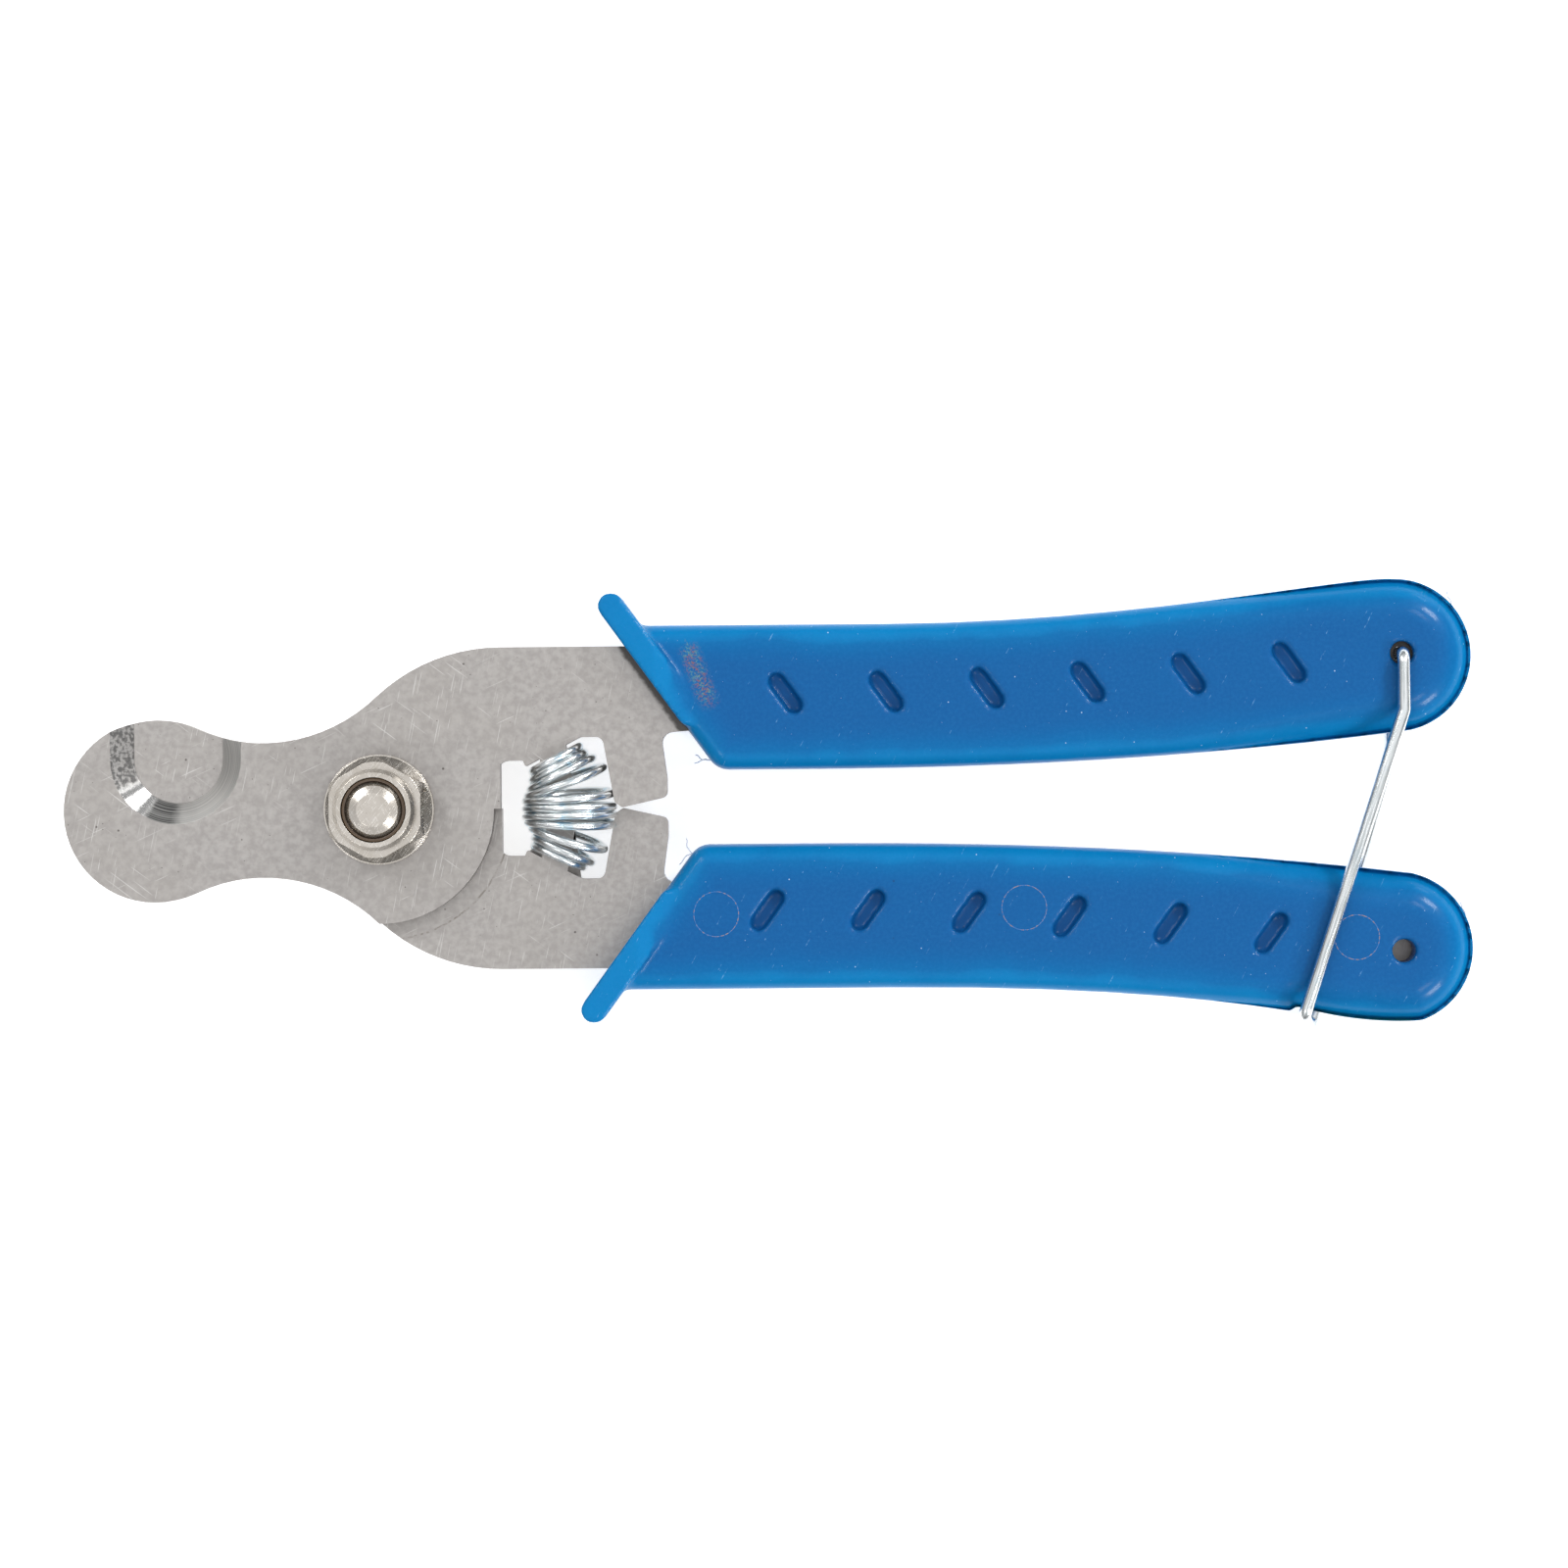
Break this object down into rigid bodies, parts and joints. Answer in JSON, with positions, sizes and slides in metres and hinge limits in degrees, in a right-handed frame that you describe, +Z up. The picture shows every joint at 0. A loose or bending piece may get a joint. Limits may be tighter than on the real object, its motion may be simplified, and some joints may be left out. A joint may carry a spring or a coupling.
{
  "type": "tile nippers",
  "caption": "Hand nippers with two bolted stamped steel levers, notched bypass jaws, a bowed return spring, ribbed plastic grips and a wire latch that holds the handles shut.",
  "frame": {"origin": "under the middle of the tool's length and width, on the surface that the bolt head rests on", "axes": "+X runs from the jaws to the grip ends, +Y is towards the handle that carries the latch, +Z is up along the pivot bolt towards the nut"},
  "size_m": [0.202, 0.0659, 0.0213],
  "materials": {
    "stamped_steel": "tumbled stamped steel plate, dull grey with fine scratches and specks, bright on the ground bevels",
    "blue_grip": "soft glossy blue moulded plastic with fine dust specks and a thin flash line",
    "plated_bolt": "warm nickel plating, worn and scratched",
    "brown_nylon": "dark brown nylon",
    "zinc_wire": "bright bluish zinc-plated spring wire"
  },
  "bodies": {
    "upper_handle": {"upper_lever": "stamped_steel", "upper_grip": "blue_grip", "pivot_bolt": "plated_bolt", "flange_nut": "plated_bolt", "lock_ring": "brown_nylon", "return_spring": "zinc_wire"},
    "lower_handle": {"lower_lever": "stamped_steel", "lower_grip": "blue_grip"},
    "latch": {"latch_wire_bail": "zinc_wire"}
  },
  "joints": [
    {"name": "handle_pivot", "type": "hinge", "parent": "upper_handle", "child": "lower_handle", "pos_m": [-0.0557, 0, 0.00835], "axis": [0, 0, -1], "range_deg": [0, 22], "deforming": ["return_spring", "latch_wire_bail"]},
    {"name": "latch_swing", "type": "hinge", "parent": "upper_handle", "child": "latch", "pos_m": [0.0908, 0.0213, 0.00835], "axis": [0, 0, 1], "range_deg": [0, 270]}
  ]
}
